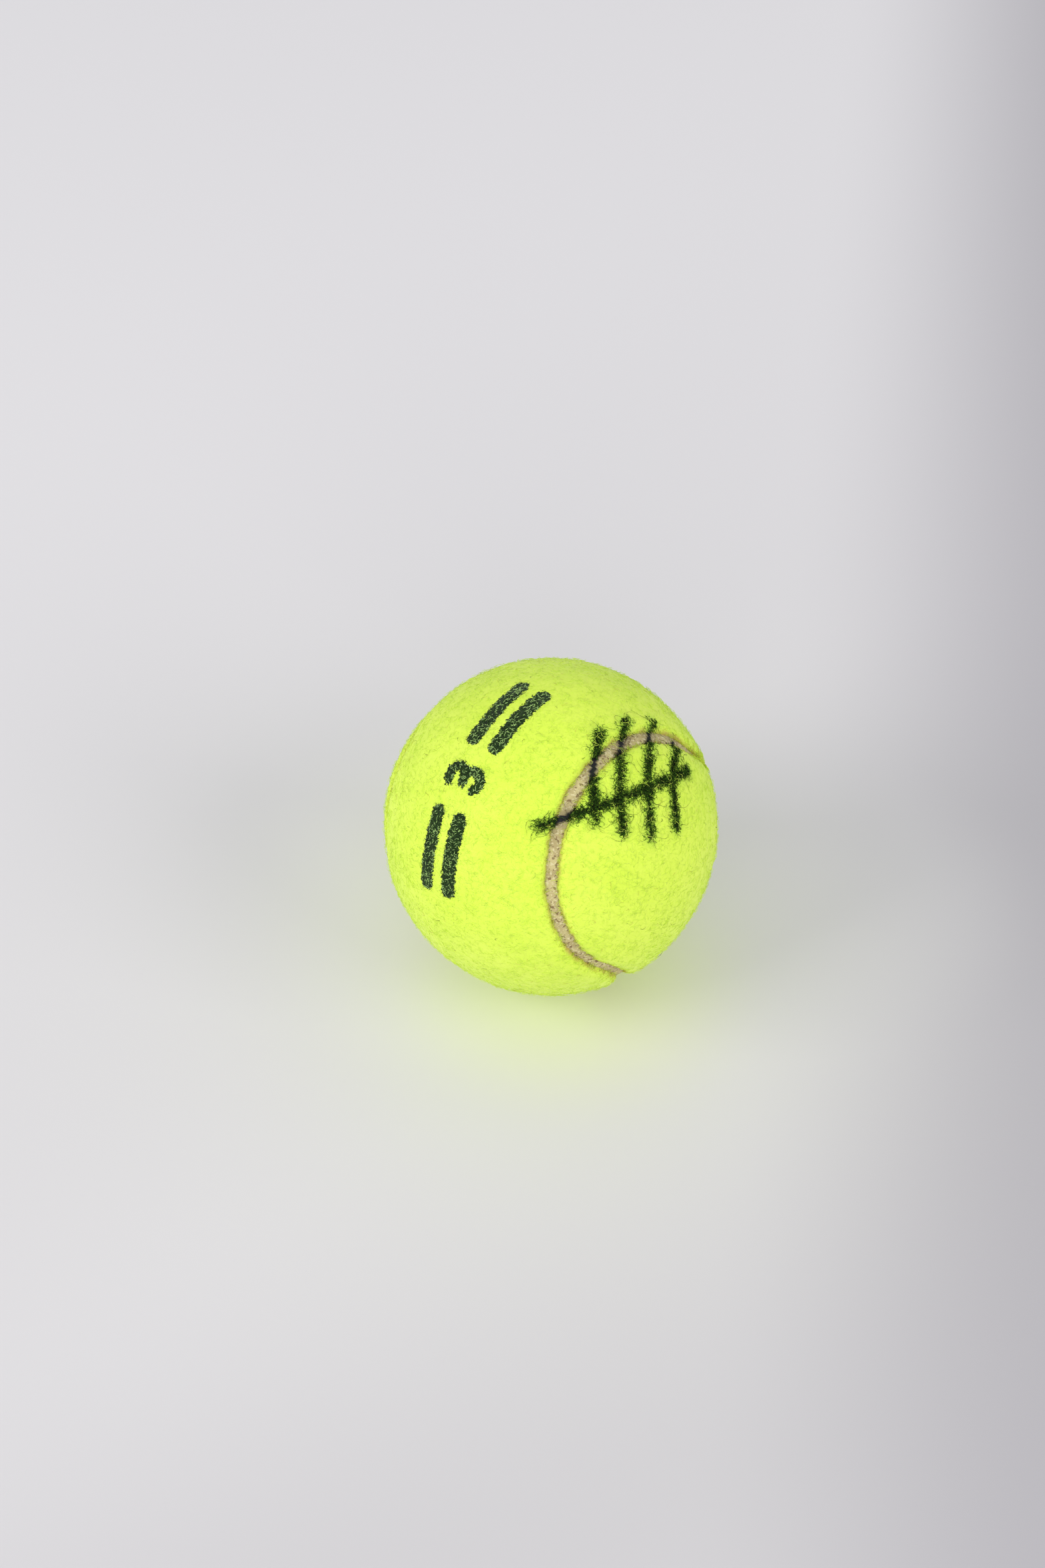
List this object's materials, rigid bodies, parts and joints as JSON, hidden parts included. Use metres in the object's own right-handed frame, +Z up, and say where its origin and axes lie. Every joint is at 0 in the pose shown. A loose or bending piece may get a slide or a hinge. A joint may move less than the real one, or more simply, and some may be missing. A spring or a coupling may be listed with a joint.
{
  "type": "tennis ball",
  "caption": "Hollow rubber ball covered in fluorescent yellow woven felt, in dumbbell-shaped panels that meet along a winding rubber seam.",
  "frame": {"origin": "the ball's centre", "axes": "+Z up as the ball lies on a table, -Y towards the viewer of the picture, +X to the viewer's right"},
  "size_m": [0.067, 0.0669, 0.067],
  "materials": {
    "core_rubber": "matt moulded rubber",
    "cement": "dull dried rubber solution",
    "felt": "fluorescent yellow raised felt",
    "seam": "dull pale rubber, a little grainy"
  },
  "bodies": {
    "root": {"core_half_lower": "core_rubber", "core_half_upper": "core_rubber", "core_joint_cement": "cement", "core_coat": "cement", "panel_a_back_coat": "cement", "panel_b_back_coat": "cement", "felt_panel_a": "felt", "felt_panel_b": "felt", "seam_rubber": "seam"}
  },
  "joints": []
}
